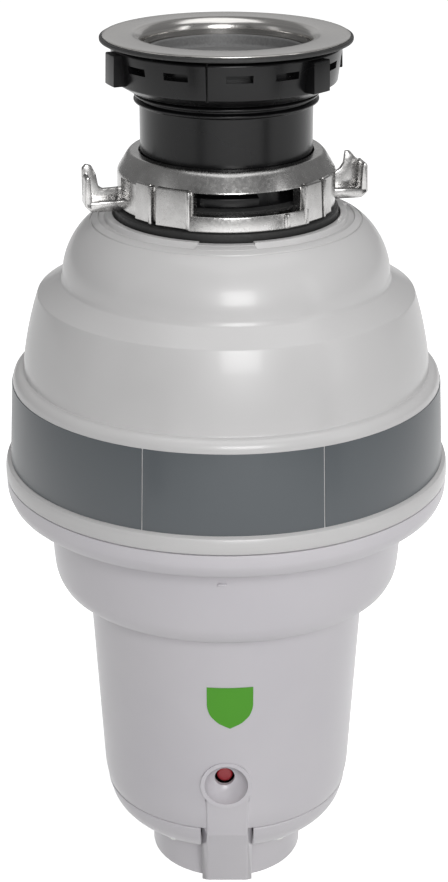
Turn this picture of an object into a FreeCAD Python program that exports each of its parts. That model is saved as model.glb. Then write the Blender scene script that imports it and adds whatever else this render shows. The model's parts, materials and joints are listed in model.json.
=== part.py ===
"""Kitchen waste disposer with a twist-on sink mount and a permanent-magnet motor.

The axis of rotation is +Z, the origin is the centre of the foot's flat underside, and -Y is the
front, where the reset button is. Lengths are in millimetres, angles in degrees.
An azimuth is measured from the front, and grows to the right, so that +X is at 90 degrees.
"""
import FreeCAD, Part
import math
import os

import Sketcher

PARTS_FOLDER = "parts"
V = FreeCAD.Vector
UP = V(0, 0, 1)
BACK = V(0, 1, 0)
FRONT = V(0, -1, 0)
RIGHT = V(1, 0, 0)

# Driving dimensions: alias, value, meaning.
DIMENSIONS = [
    ("flange_top", 432.0, "height of the sink flange's top face above the foot"),
    ("flange_radius", 57.0, "sink flange, a standard 114 mm"),
    ("flange_sheet", 0.9, "steel sheet of the sink flange"),
    ("flange_roll", 5.5, "radius of the flange's rolled mouth"),
    ("throat_radius", 38.95, "inside of the flange's tube"),
    ("throat_bottom", 404.0, "lower end of the flange's tube"),
    ("gasket_radius", 58.4, "rubber gasket under the sink flange"),
    ("gasket_bottom", 429.3, "underside of that gasket"),
    ("friction_sheet", 1.0, "thickness of the fibre friction ring"),
    ("sleeve_radius", 40.4, "smooth outside of the mounting sleeve"),
    ("sleeve_bore", 38.3, "inside of the sleeve below the steel tube"),
    ("sleeve_bottom", 360.0, "lower end of the sleeve"),
    ("thread_radius", 42.2, "crest of the sleeve's thread"),
    ("thread_root", 41.0, "root of the sleeve's thread"),
    ("thread_pitch", 3.0, "pitch of the sleeve's thread"),
    ("thread_bottom", 400.5, "lower end of the thread"),
    ("lug_radius", 43.4, "tips of the sleeve's three bayonet lugs"),
    ("nut_radius", 53.5, "mounting nut at its top"),
    ("nut_lug_radius", 57.8, "tips of the mounting nut's lugs"),
    ("nut_top", 427.6, "top face of the mounting nut"),
    ("nut_bottom", 404.6, "lower end of the mounting nut"),
    ("ring_top", 378.2, "top edge of the twist ring's collar"),
    ("ring_bottom", 352.0, "lower edge of the twist ring"),
    ("ring_radius", 53.4, "twist ring at its lower edge"),
    ("ear_radius", 68.0, "outer face of the twist ring's ears"),
    ("ear_top", 373.0, "tips of the twist ring's ears"),
    ("neck_radius", 45.0, "neck of the hopper"),
    ("neck_bore", 41.0, "inside of that neck"),
    ("hopper_radius", 72.0, "outside of the grind chamber"),
    ("hopper_bore", 69.0, "inside of the grind chamber"),
    ("joint_height", 256.0, "face where the hopper meets the drain housing"),
    ("joint_radius", 84.0, "flanges of that joint"),
    ("dome_radius", 30.0, "round of the upper shell's dome"),
    ("dome_centre_radius", 48.3, "distance of the dome round's centre from the axis"),
    ("dome_centre_height", 319.7, "height of the dome round's centre"),
    ("opening_radius", 55.5, "opening in the top of the upper shell"),
    ("bulge_radius", 109.1, "widest radius of the shells"),
    ("parting_height", 218.8, "parting line of the two shells"),
    ("band_bottom_radius", 106.1, "wall under the label band, lower edge"),
    ("band_top_radius", 104.0, "wall under the label band, upper edge"),
    ("band_bottom", 226.8, "lower edge of the label band"),
    ("band_top", 266.0, "upper edge of the label band"),
    ("shell_wall", 2.5, "wall of the moulded shells"),
    ("skirt_radius", 87.4, "skirt of the lower shell"),
    ("skirt_bottom", 161.3, "lower edge of that skirt"),
    ("cover_radius", 63.8, "motor cover near its lower edge"),
    ("cover_top_radius", 70.0, "motor cover where it enters the lower shell"),
    ("cover_bottom", 44.6, "lower edge of the motor cover"),
    ("foot_radius", 39.0, "foot tube of the base cover"),
    ("foot_height", 26.0, "height of the foot tube"),
    ("dish_radius", 10.6, "mouth of the reset button's dish"),
    ("dish_height", 72.5, "height of the reset button's axis"),
    ("button_radius", 4.0, "reset button"),
    ("shaft_radius", 6.0, "rotor shaft"),
    ("turntable_radius", 65.5, "turntable"),
    ("turntable_top", 264.5, "top face of the turntable"),
    ("pivot_radius", 44.0, "distance of the impeller pivots from the axis"),
    ("can_radius", 56.0, "steel motor can"),
    ("can_bottom", 92.0, "lower end of the motor can"),
    ("can_top", 203.0, "upper end of the motor can"),
    ("core_radius", 45.8, "armature core"),
    ("outlet_radius", 19.0, "discharge tube, a standard 38 mm"),
    ("outlet_bore", 17.0, "inside of the discharge tube"),
    ("outlet_height", 238.0, "height of the discharge axis"),
    ("outlet_end", 152.0, "distance of the discharge tube's end from the axis"),
    ("inlet_radius", 11.0, "dishwasher inlet nipple, a standard 22 mm"),
    ("inlet_bore", 8.0, "inside of the inlet nipple"),
    ("inlet_height", 300.0, "height of the inlet's axis"),
    ("inlet_side", -38.0, "sideways place of the inlet's axis"),
    ("cord_bore", 4.2, "bore of the mains cord's gland"),
    ("gland_height", 66.0, "height of the gland's axis"),
]


class Size:
    """A length with the formula that binds it to the sheet."""

    def __init__(self, value, formula):
        self.value = float(value)
        self.formula = formula

    def join(self, other, sign, value):
        return Size(value, f"({self.formula} {sign} {formula(other)})")

    def __add__(self, other):
        return self.join(other, "+", self.value + number(other))

    def __sub__(self, other):
        return self.join(other, "-", self.value - number(other))

    def __mul__(self, other):
        return self.join(other, "*", self.value * number(other))

    def __neg__(self):
        return Size(-self.value, f"(0 - {self.formula})")


def number(size):
    return size.value if isinstance(size, Size) else float(size)


def formula(size):
    return size.formula if isinstance(size, Size) else repr(float(size))


# Screws: radii of clearance holes, pilot holes and self-tapping shanks, and of the circles they lie on.
CLEARANCE = 2.15
PILOT = 1.9
SELF_TAPPER = 1.88
CHAMBER_CIRCLE = 79.0
SKIRT_CIRCLE = 75.5
BOLT_CIRCLE = 50.3
FOOT_CIRCLE = 46.0
# Azimuths of the bell's legs, and sideways places of the screws at the discharge.
LEGS = (35.0, 145.0, 215.0, 325.0)
PLATE_SCREWS = (-27.0, 27.0)
# Azimuth of the mounting nut's split; its slots and lugs lie evenly on both sides of the split.
NUT_SPLIT = -9.3
NUT_SLOTS = tuple(side * turn for turn in (15.8, 40.3, 73.7, 98.2, 140.0, 163.0) for side in (-1, 1))
NUT_LUGS = (-57.0, 57.0, -123.4, 123.4, 180.0)

doc = FreeCAD.newDocument("Disposer")
sheet = doc.addObject("Spreadsheet::Sheet", "Sizes")
D = {}
for row, (alias, value, meaning) in enumerate(DIMENSIONS, start=1):
    sheet.set(f"A{row}", meaning)
    sheet.set(f"B{row}", str(value))
    sheet.setAlias(f"B{row}", alias)
    D[alias] = Size(value, f"Sizes.{alias}")
doc.recompute()

nodes = []


def heading(azimuth):
    """The angle about +Z, from +X, of an azimuth counted from the front."""
    return azimuth - 90.0


def at_azimuth(radius, azimuth, height=0.0):
    turn = math.radians(heading(azimuth))
    return V(radius * math.cos(turn), radius * math.sin(turn), height)


def spread(count, first=0.0):
    """Azimuths spaced evenly round the axis."""
    return [first + 360.0 * i / count for i in range(count)]


def keep(shape_object, label):
    """Makes an object a sub-part: its label is the name of its file."""
    shape_object.Label = label
    nodes.append(shape_object)
    return shape_object


def bind(feature, **sizes):
    for name, size in sizes.items():
        setattr(feature, name, number(size))
        if isinstance(size, Size):
            feature.setExpression(name, size.formula)
    return feature


def new_body(name):
    return doc.addObject("PartDesign::Body", name)


def plane_of(body, role):
    return next(f for f in body.Origin.OriginFeatures if f.Role == role)


def new_sketch(body, role, turn=0.0, offset=0.0):
    """A sketch on one of the body's planes. turn swings an upright plane about +Z."""
    sketch = body.newObject("Sketcher::SketchObject", body.Name + "_sketch")
    sketch.AttachmentSupport = (plane_of(body, role), "")
    sketch.MapMode = "FlatFace"
    sketch.AttachmentOffset = FreeCAD.Placement(V(0, 0, offset), FreeCAD.Rotation(V(0, 1, 0), turn))
    return sketch


def pin_point(sketch, edge, end, x, y):
    """Holds one end of an edge at (x, y) from the sketch's origin."""
    for kind, size, axis in (("DistanceX", x, -2), ("DistanceY", y, -1)):
        if number(size) == 0.0:
            sketch.addConstraint(Sketcher.Constraint("PointOnObject", edge, end, axis))
            continue
        index = sketch.addConstraint(Sketcher.Constraint(kind, -1, 1, edge, end, number(size)))
        if isinstance(size, Size):
            sketch.setExpression(f"Constraints[{index}]", size.formula)


def arc_edge(start, end, radius):
    """An arc of the given radius. A positive radius turns left on its way, a negative one right."""
    chord = end - start
    half = chord.Length / 2
    reach = math.sqrt(max(radius * radius - half * half, 0.0))
    left = V(-chord.y, chord.x, 0) * (1 / chord.Length)
    centre = (start + end) * 0.5 + left * (reach if radius > 0 else -reach)
    first, last = (start, end) if radius > 0 else (end, start)
    angles = [math.atan2(point.y - centre.y, point.x - centre.x) for point in (first, last)]
    if angles[1] < angles[0]:
        angles[1] += 2 * math.pi
    return Part.ArcOfCircle(Part.Circle(centre, UP, abs(radius)), *angles)


def outline(sketch, points):
    """Draws a closed outline. A point is (x, y), or (x, y, radius) where an arc arrives at it."""
    count = len(points)
    places = [V(number(p[0]), number(p[1]), 0) for p in points]
    ends = []
    for index, point in enumerate(points):
        start, end = places[index - 1], places[index]
        radius = point[2] if len(point) > 2 else None
        if radius is None:
            edge = sketch.addGeometry(Part.LineSegment(start, end))
            ends.append((edge, 1, 2))
        else:
            edge = sketch.addGeometry(arc_edge(start, end, number(radius)))
            ends.append((edge, 1, 2) if number(radius) > 0 else (edge, 2, 1))
            bound = Sketcher.Constraint("Radius", edge, abs(number(radius)))
            place = sketch.addConstraint(bound)
            if isinstance(radius, Size):
                sketch.setExpression(f"Constraints[{place}]", radius.formula.replace("(0 - ", "("))
    for index, (edge, first, last) in enumerate(ends):
        after, after_first, _ = ends[(index + 1) % count]
        sketch.addConstraint(Sketcher.Constraint("Coincident", edge, last, after, after_first))
        pin_point(sketch, edge, last, points[index][0], points[index][1])


def turned(body, kind, points, angle=360.0, turn=0.0):
    """A Revolution or Groove of an outline of (radius, height) points about +Z."""
    sketch = new_sketch(body, "XZ_Plane", turn)
    outline(sketch, points)
    feature = body.newObject("PartDesign::" + kind, body.Name + "_" + kind.lower())
    feature.Profile = sketch
    feature.ReferenceAxis = (sketch, ["V_Axis"])
    feature.Angle = angle
    feature.Midplane = angle < 360.0
    sketch.Visibility = False
    return feature


def repeated(body, feature, count, sweep=360.0):
    """A polar pattern of a feature about +Z."""
    pattern = body.newObject("PartDesign::PolarPattern", body.Name + "_pattern")
    pattern.Originals = [feature]
    pattern.Axis = (plane_of(body, "Z_Axis"), [""])
    pattern.Angle = sweep
    pattern.Occurrences = count
    body.Tip = pattern
    return pattern


def lathe(label, points, angle=360.0, turn=0.0):
    """A sub-part that is one turned outline."""
    body = new_body(label)
    turned(body, "Revolution", points, angle, turn)
    return body


def prism(label, role, points, length, offset=0.0):
    """A sub-part that is one padded outline."""
    body = new_body(label)
    sketch = new_sketch(body, role, offset=offset)
    outline(sketch, points)
    pad = body.newObject("PartDesign::Pad", body.Name + "_pad")
    pad.Profile = sketch
    bind(pad, Length=length)
    return body


def rod(label, radius, length, base=V(), direction=UP):
    cylinder = doc.addObject("Part::Cylinder", label)
    bind(cylinder, Radius=radius, Height=length)
    cylinder.Placement = FreeCAD.Placement(base, FreeCAD.Rotation(UP, direction))
    return cylinder


def block(label, low, size):
    box = doc.addObject("Part::Box", label)
    bind(box, Length=size[0], Width=size[1], Height=size[2])
    box.Placement = FreeCAD.Placement(V(*[number(x) for x in low]), FreeCAD.Rotation())
    return box


def ball(label, radius, centre):
    sphere = doc.addObject("Part::Sphere", label)
    bind(sphere, Radius=radius)
    sphere.Placement = FreeCAD.Placement(centre, FreeCAD.Rotation(V(1, 0, 0), 90.0))
    return sphere


def cut(label, base, tool):
    result = doc.addObject("Part::Cut", label)
    result.Base, result.Tool = base, tool
    return result


def common(label, first, second):
    result = doc.addObject("Part::Common", label)
    result.Base, result.Tool = first, second
    return result


def fuse(label, *shapes):
    result = doc.addObject("Part::MultiFuse", label)
    result.Shapes = list(shapes)
    return result


def group(label, *shapes):
    """Separate solids that share one node."""
    result = doc.addObject("Part::Compound", label)
    result.Links = list(shapes)
    return result


def bored(label, base, *tools):
    """A base with holes: every tool is cut away."""
    return cut(label, base, fuse(label + "_holes", *tools) if len(tools) > 1 else tools[0])


def ring(label, outer, inner, low, high):
    """A plain ring about +Z."""
    return lathe(label, [(inner, low), (outer, low), (outer, high), (inner, high)])


def screw(label, radius, head_radius, head, length, base, direction):
    """A pan-head screw: its head starts at base and its shank runs on along direction."""
    return fuse(
        label,
        rod(label + "_head", head_radius, head, base, direction),
        rod(label + "_shank", radius, length, base + direction * (head - 0.2), direction),
    )


# Sink mount ----------------------------------------------------------------------------------

def sink_flange():
    top, sheet_, bore, roll = (D[k] for k in ("flange_top", "flange_sheet", "throat_radius", "flange_roll"))
    keep(lathe("sink_flange", [
        (bore, D["throat_bottom"]), (bore + sheet_, D["throat_bottom"]),
        (bore + sheet_, top - roll), (bore + roll, top - sheet_, -(roll - sheet_)),
        (D["flange_radius"], top - sheet_), (D["flange_radius"], top - 0.4),
        (D["flange_radius"] - 1.4, top), (bore + roll, top), (bore, top - roll, roll),
    ]), "sink_flange")


def threaded_sleeve():
    body = new_body("threaded_sleeve")
    root, crest = D["thread_root"], D["thread_radius"]
    pitch, low = D["thread_pitch"], D["thread_bottom"]
    shoulder = D["throat_bottom"] - 0.3
    tube = D["throat_radius"] + D["flange_sheet"] + 0.05
    points = [
        (D["sleeve_bore"], D["sleeve_bottom"]), (D["sleeve_radius"], D["sleeve_bottom"]),
        (D["sleeve_radius"], low),
    ]
    for turn in range(8):
        start = low + pitch * turn
        points += [(root, start + 0.4), (crest, start + 1.2), (crest, start + 2.1), (root, start + 2.9)]
    top = low + pitch * 8
    points += [(root, top + 0.8), (tube, top + 0.8), (tube, shoulder), (D["sleeve_bore"], shoulder)]
    turned(body, "Revolution", points)
    lug = turned(body, "Revolution", [
        (D["sleeve_radius"] - 1.0, D["sleeve_bottom"] + 1.0), (D["lug_radius"], D["sleeve_bottom"] + 1.0),
        (D["lug_radius"], D["sleeve_bottom"] + 5.0), (D["sleeve_radius"] - 1.0, D["sleeve_bottom"] + 6.5),
    ], angle=40.0, turn=heading(0.0))
    repeated(body, lug, 3)
    keep(body, "threaded_sleeve")


def flange_gasket():
    high = D["flange_top"] - D["flange_sheet"]
    keep(ring("flange_gasket", D["gasket_radius"], 44.6, D["gasket_bottom"], high), "flange_gasket")


def friction_ring():
    high = D["gasket_bottom"] - 0.1
    bore = D["thread_radius"] + 0.6
    keep(ring("friction_ring", 53.0, bore, high - D["friction_sheet"], high), "friction_ring")


def mounting_nut():
    body = new_body("mounting_nut")
    bore = D["thread_radius"] + 0.4
    top, low, radius = D["nut_top"], D["nut_bottom"], D["nut_radius"]
    turned(body, "Revolution", [
        (bore, low), (bore + 0.9, low), (radius - 3.0, low + 6.5), (radius - 2.0, low + 6.9),
        (radius, top - 0.8), (radius - 0.8, top), (bore, top),
    ])
    for offset in NUT_SLOTS:
        body.Tip = turned(body, "Groove", [
            (radius - 4.0, top - 8.2), (radius + 1.0, top - 8.2),
            (radius + 1.0, top - 5.0), (radius - 4.0, top - 5.0),
        ], angle=13.0, turn=heading(NUT_SPLIT + offset))
    body.Tip = turned(body, "Groove", [
        (radius - 3.5, low + 5.0), (radius + 1.0, low + 5.0),
        (radius + 1.0, top + 1.0), (radius - 3.5, top + 1.0),
    ], angle=1.2, turn=heading(NUT_SPLIT))
    for offset in NUT_LUGS:
        body.Tip = turned(body, "Revolution", [
            (radius - 4.5, top - 15.6), (D["nut_lug_radius"], top - 15.6),
            (D["nut_lug_radius"], top - 1.0), (radius - 4.5, top - 1.0),
        ], angle=10.6, turn=heading(NUT_SPLIT + offset))
    keep(body, "mounting_nut")


def splash_guard():
    wall = D["throat_radius"] - 0.45
    top = D["throat_bottom"] + 20.6
    body = new_body("splash_guard")
    turned(body, "Revolution", [
        (4.0, top - 6.6), (wall - 2.0, top - 4.4), (wall - 2.0, top - 20.0), (wall, top - 20.0),
        (wall, top - 0.8), (wall - 1.4, top, 1.6), (wall - 2.8, top - 0.8, 1.6),
        (wall - 3.0, top - 2.4), (4.0, top - 4.6),
    ])
    sketch = new_sketch(body, "XY_Plane")
    half = 0.6
    outline(sketch, [(2.0, -half), (20.0, -half), (20.0, half), (2.0, half)])
    slit = body.newObject("PartDesign::Pocket", "splash_guard_slit")
    slit.Profile = sketch
    slit.Type = "ThroughAll"
    slit.Midplane = True
    repeated(body, slit, 8)
    keep(body, "splash_guard")


def mounting_ring():
    body = new_body("twist_ring_body")
    top, low, radius = D["ring_top"], D["ring_bottom"], D["ring_radius"]
    inner, bore, lip = D["neck_radius"] + 2.6, D["sleeve_radius"] + 0.6, D["neck_radius"] + 0.5
    turned(body, "Revolution", [
        (lip, low), (radius, low), (radius - 1.0, low + 16.5), (radius - 2.8, low + 18.8),
        (radius - 5.9, low + 20.4), (radius - 7.9, top - 0.8), (radius - 8.7, top), (bore, top),
        (bore, top - 7.8), (inner, top - 10.0), (inner, low + 2.2), (lip, low + 2.2),
    ])
    notch = turned(body, "Groove", [
        (bore - 1.0, top - 14.0), (D["lug_radius"] + 0.4, top - 14.0),
        (D["lug_radius"] + 0.4, top + 1.0), (bore - 1.0, top + 1.0),
    ], angle=46.0, turn=heading(60.0))
    repeated(body, notch, 3)
    window = turned(body, "Groove", [
        (inner - 1.0, low + 7.0), (radius + 2.0, low + 7.0),
        (radius + 2.0, low + 16.6), (inner - 1.0, low + 16.6),
    ], angle=56.0, turn=heading(12.0))
    repeated(body, window, 2)
    arms = []
    for side, azimuth in (("left", -78.0), ("right", 102.0)):
        reach = D["ear_radius"] - radius + 3.0
        arm = block(f"ear_arm_{side}", (0, 0, 0), (reach, 11.0, 5.2))
        tab = block(f"ear_tab_{side}", (0, 0, 0), (4.6, 11.0, D["ear_top"] - low))
        swing = FreeCAD.Rotation(UP, heading(azimuth))
        for piece, start in ((arm, radius - 3.0), (tab, D["ear_radius"] - 4.6)):
            place = swing.multVec(V(number(start), -5.5, number(low)))
            piece.Placement = FreeCAD.Placement(place, swing)
            arms.append(piece)
    keep(fuse("twist_ring", body, *arms), "mounting_ring")


def seals_of_the_neck():
    neck_top = D["sleeve_bottom"] - 3.0
    keep(ring("cushion_mount", D["neck_radius"] + 1.4, D["sleeve_bore"], neck_top, D["sleeve_bottom"]),
         "cushion_mount")
    low = D["ring_bottom"] - 5.5
    keep(ring("ring_seat_gasket", 55.0, D["neck_radius"] + 0.1, low, D["ring_bottom"] - 0.3),
         "ring_seat_gasket")


# Grind chamber -------------------------------------------------------------------------------

def inlet_axis(distance):
    return V(number(D["inlet_side"]), distance, number(D["inlet_height"]))


def hopper():
    top = D["sleeve_bottom"] - 3.0
    plate = D["ring_bottom"] - 5.5
    low = D["joint_height"] + 1.5
    body = lathe("hopper_shell", [
        (D["hopper_bore"], low), (D["joint_radius"], low), (D["joint_radius"], low + 5.0),
        (D["hopper_radius"] + 2.0, low + 5.5), (D["hopper_radius"], low + 8.0),
        (D["hopper_radius"], 321.0), (D["hopper_radius"] - 2.5, 326.0), (55.0, 340.5), (55.2, 343.0),
        (55.2, plate), (D["neck_radius"], plate), (D["neck_radius"], top - 2.3),
        (D["neck_radius"] + 2.1, top - 2.3), (D["neck_radius"] + 2.1, top), (D["neck_bore"], top),
        (D["neck_bore"], 344.5), (44.0, 341.0), (66.5, 323.0), (D["hopper_bore"], 318.0),
    ])
    root = rod("inlet_root", D["inlet_radius"] + 1.0, 37.0, inlet_axis(55.0), BACK)
    nipple = rod("inlet_nipple", D["inlet_radius"], 57.0, inlet_axis(55.0), BACK)
    chamber = rod("inlet_clear", D["hopper_bore"], 40.0, V(0, 0, 280), UP)
    outside = cut("inlet_tube", fuse("inlet_stock", root, nipple), chamber)
    bore = rod("inlet_hole", D["inlet_bore"], 90.0, inlet_axis(40.0), BACK)
    holes = [rod(f"joint_hole_{i}", CLEARANCE, 20.0, at_azimuth(CHAMBER_CIRCLE, a, 250.0))
             for i, a in enumerate(spread(6, 30.0))]
    keep(bored("hopper_bored", fuse("hopper_blank", body, outside), bore, *holes), "hopper")
    keep(rod("plug", D["inlet_bore"] - 0.02, 2.0, inlet_axis(70.0), BACK), "inlet_plug")
    sleeve = rod("grommet_blank", D["inlet_radius"] + 3.2, 10.0, inlet_axis(81.0), BACK)
    hole = rod("grommet_hole", D["inlet_radius"] + 1.1, 12.0, inlet_axis(80.0), BACK)
    keep(cut("grommet", sleeve, hole), "inlet_grommet")


def shredder_ring():
    body = new_body("shredder_ring")
    outer, inner = D["hopper_bore"] - 0.1, D["hopper_bore"] - 2.1
    low = D["joint_height"] + 3.0
    turned(body, "Revolution", [
        (inner, low), (outer, low), (outer, low + 24.0), (outer - 1.2, low + 25.0), (inner, low + 25.0),
    ])
    tooth = turned(body, "Groove", [
        (inner - 1.0, low + 2.0), (outer + 1.0, low + 2.0),
        (outer + 1.0, low + 12.0), (inner - 1.0, low + 12.0),
    ], angle=5.0)
    repeated(body, tooth, 24)
    keep(body, "shredder_ring")


def turntable():
    body = new_body("turntable_disc")
    top, radius, bore = D["turntable_top"], D["turntable_radius"], D["shaft_radius"]
    turned(body, "Revolution", [
        (bore, top - 10.0), (12.0, top - 10.0), (12.0, top - 2.5), (radius, top - 2.5), (radius, top),
        (16.0, top), (13.0, top + 3.5), (bore, top + 3.5),
    ])
    drain = turned(body, "Groove", [
        (50.0, top - 4.0), (56.0, top - 4.0), (56.0, top + 2.0), (50.0, top + 2.0),
    ], angle=8.0, turn=heading(0.0))
    repeated(body, drain, 8)
    pins = [rod(f"pivot_hole_{i}", 3.0, 8.0, at_azimuth(D["pivot_radius"].value, azimuth, number(top) - 5.0))
            for i, azimuth in enumerate((90.0, 270.0))]
    keep(bored("turntable_bored", body, *pins), "turntable")


def impellers():
    top = number(D["turntable_top"])
    pivot = number(D["pivot_radius"])
    rivets = []
    for name, azimuth in (("impeller_a", 90.0), ("impeller_b", 270.0)):
        body = prism(name + "_blade", "XY_Plane", [
            (-12.0, -7.0), (6.0, -8.0), (19.0, -5.0), (19.0, 5.0), (6.0, 8.0), (-12.0, 7.0),
        ], 5.0)
        heel = block(name + "_heel", (9.0, -5.2, 4.0), (10.0, 10.4, 12.0))
        hole = rod(name + "_hole", 3.05, 12.0, V(0, 0, -1))
        arm = cut(name + "_arm", fuse(name + "_blank", body, heel), hole)
        swing = FreeCAD.Rotation(UP, heading(azimuth))
        arm.Placement = FreeCAD.Placement(at_azimuth(pivot, azimuth, top + 0.3), swing)
        keep(arm, name)
        base = at_azimuth(pivot, azimuth, top - 4.5)
        rivets.append(fuse(
            name + "_rivet", rod(name + "_shank", 3.0, 12.0, base),
            rod(name + "_foot", 5.0, 1.8, base), rod(name + "_cap", 5.0, 1.8, base + UP * 10.2),
        ))
    keep(group("rivets", *rivets), "impeller_rivets")


# Drain housing and discharge -----------------------------------------------------------------

def outlet_axis(distance, sideways=0.0):
    return V(sideways, distance, number(D["outlet_height"]))


def two_bolt_plate(label, distance, thickness):
    """A plate round the discharge axis, with an ear for a screw on each side."""
    ears = [rod(f"{label}_ear_{i}", 8.0, thickness, outlet_axis(distance, side), BACK)
            for i, side in enumerate(PLATE_SCREWS)]
    middle = rod(label + "_middle", 23.0, thickness, outlet_axis(distance), BACK)
    low = (PLATE_SCREWS[0], distance, D["outlet_height"] - 8.0)
    web = block(label + "_web", low, (PLATE_SCREWS[1] - PLATE_SCREWS[0], thickness, 16.0))
    return fuse(label, middle, web, *ears)


def drain_housing():
    top, flange = D["joint_height"], D["joint_radius"]
    body = lathe("drain_bowl", [
        (6.6, 219.5), (16.2, 219.5), (16.2, 207.0), (21.0, 207.0),
        (21.0, 216.0), (50.0, 219.0), (53.2, 219.0),
        (53.2, D["can_top"]), (D["can_radius"] + 3.0, D["can_top"]), (D["can_radius"] + 3.0, 219.0),
        (70.0, 222.0), (70.0, top - 6.0), (flange, top - 5.5), (flange, top), (66.4, top),
        (66.4, 228.0), (18.0, 225.0), (18.0, 232.0), (14.1, 232.0), (14.1, 224.0), (6.6, 224.0),
    ])
    boss = rod("outlet_boss", D["outlet_radius"] - 1.5, 54.0, outlet_axis(58.0), BACK)
    plate = two_bolt_plate("outlet_plate", 108.0, 4.0)
    bowl = rod("outlet_clear", 66.4, 22.0, V(0, 0, 229.0))
    blank = fuse("drain_blank", body, cut("outlet_spout", fuse("outlet_blank", boss, plate), bowl))
    passage = rod("outlet_passage", 15.5, 80.0, outlet_axis(50.0), BACK)
    holes = [rod(f"drain_hole_{i}", CLEARANCE, 20.0, at_azimuth(CHAMBER_CIRCLE, a, 245.0))
             for i, a in enumerate(spread(6, 30.0))]
    holes += [rod(f"bolt_hole_{i}", CLEARANCE, 10.0, at_azimuth(BOLT_CIRCLE, a, 214.0))
              for i, a in enumerate(spread(4, 45.0))]
    holes += [rod(f"plate_hole_{i}", CLEARANCE, 10.0, outlet_axis(105.0, side), BACK)
              for i, side in enumerate(PLATE_SCREWS)]
    keep(bored("drain_bored", blank, passage, *holes), "drain_housing")
    keep(ring("chamber_gasket", 76.0, 69.5, top, top + 1.5), "chamber_gasket")
    low = number(top) - 5.5 - 3.4
    keep(group("flange_screws", *[
        screw(f"flange_screw_{i}", 2.0, 4.2, 2.9, 13.5, at_azimuth(CHAMBER_CIRCLE, a, low), UP)
        for i, a in enumerate(spread(6, 30.0))
    ]), "chamber_screws")


def discharge():
    end = D["outlet_end"]
    gasket = two_bolt_plate("gasket_blank", 112.0, 2.0)
    flange = two_bolt_plate("flange_blank", 116.0, 3.0)
    holes = []
    for name, radius in (("gasket", 15.5), ("flange", D["outlet_radius"] + 0.5)):
        tools = [rod(f"{name}_bore", radius, 12.0, outlet_axis(110.0), BACK)]
        tools += [rod(f"{name}_hole_{i}", CLEARANCE, 12.0, outlet_axis(110.0, side), BACK)
                  for i, side in enumerate(PLATE_SCREWS)]
        holes.append(tools)
    keep(bored("gasket_bored", gasket, *holes[0]), "discharge_gasket")
    keep(bored("flange_bored", flange, *holes[1]), "discharge_flange")
    root = rod("tube_root", D["outlet_radius"] + 0.25, 5.3, outlet_axis(114.0), BACK)
    tube = rod("tube_blank", D["outlet_radius"], end - 114.0, outlet_axis(114.0), BACK)
    collar = rod("tube_collar", 22.0, 2.0, outlet_axis(114.0), BACK)
    bore = rod("tube_bore", D["outlet_bore"], 60.0, outlet_axis(110.0), BACK)
    keep(bored("tube_bored", fuse("tube_stock", tube, root, collar), bore), "discharge_tube")
    keep(group("plate_screws", *[
        screw(f"plate_screw_{i}", 2.0, 4.2, 2.8, 11.5, outlet_axis(121.8, side), FRONT)
        for i, side in enumerate(PLATE_SCREWS)
    ]), "discharge_screws")


# Shells --------------------------------------------------------------------------------------

def upper_shell():
    wall, radius, low = D["shell_wall"], D["bulge_radius"], D["parting_height"] + 0.3
    centre_r, centre_z, round_ = (D[k] for k in ("dome_centre_radius", "dome_centre_height", "dome_radius"))
    dome_edge = centre_r + round_
    opening = D["opening_radius"]
    body = new_body("upper_shell_body")
    turned(body, "Revolution", [
        (radius - wall, low), (radius, low), (radius - 0.2, low + 3.0), (radius - 0.9, low + 6.6, 12.0),
        (D["band_bottom_radius"], D["band_bottom"]), (D["band_top_radius"], D["band_top"]),
        (D["band_top_radius"] - 5.6, D["band_top"] + 5.6, 5.6), (98.2, 276.0), (90.6, 309.7, 150.0),
        (dome_edge + 0.2, 316.7), (dome_edge, centre_z), (64.8, 344.76, round_), (64.6, 344.3),
        (64.1, 344.3), (63.9, 345.1), (61.0, 346.6), (60.6, 345.6), (opening + 2.3, 345.6),
        (opening + 1.9, 349.0), (opening, 349.0), (opening, 343.54), (62.0, 343.54),
        (dome_edge - wall, centre_z, -(round_ - wall)), (dome_edge - wall, 315.2),
        (88.1, 308.2), (95.7, 275.6, -150.0), (95.7, 269.8), (D["band_top_radius"] - wall, 264.8),
        (D["band_bottom_radius"] - wall, 225.4), (radius - wall, 222.6),
    ])
    notch = turned(body, "Groove", [
        (opening - 1.0, 347.6), (opening + 2.6, 347.6), (opening + 2.6, 351.0), (opening - 1.0, 351.0),
    ], angle=26.0, turn=heading(0.0))
    repeated(body, notch, 3)
    pad = turned(body, "Revolution", [
        (opening + 1.0, 344.5), (61.5, 344.5), (61.5, 346.6), (opening + 1.0, 347.6),
    ], angle=26.0, turn=heading(0.0))
    repeated(body, pad, 3)
    outlet = rod("shell_outlet", 26.0, 60.0, outlet_axis(70.0), BACK)
    inlet = rod("shell_inlet", D["inlet_radius"] + 3.3, 60.0, inlet_axis(60.0), BACK)
    keep(bored("upper_shell_bored", body, outlet, inlet), "upper_shell")


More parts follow.
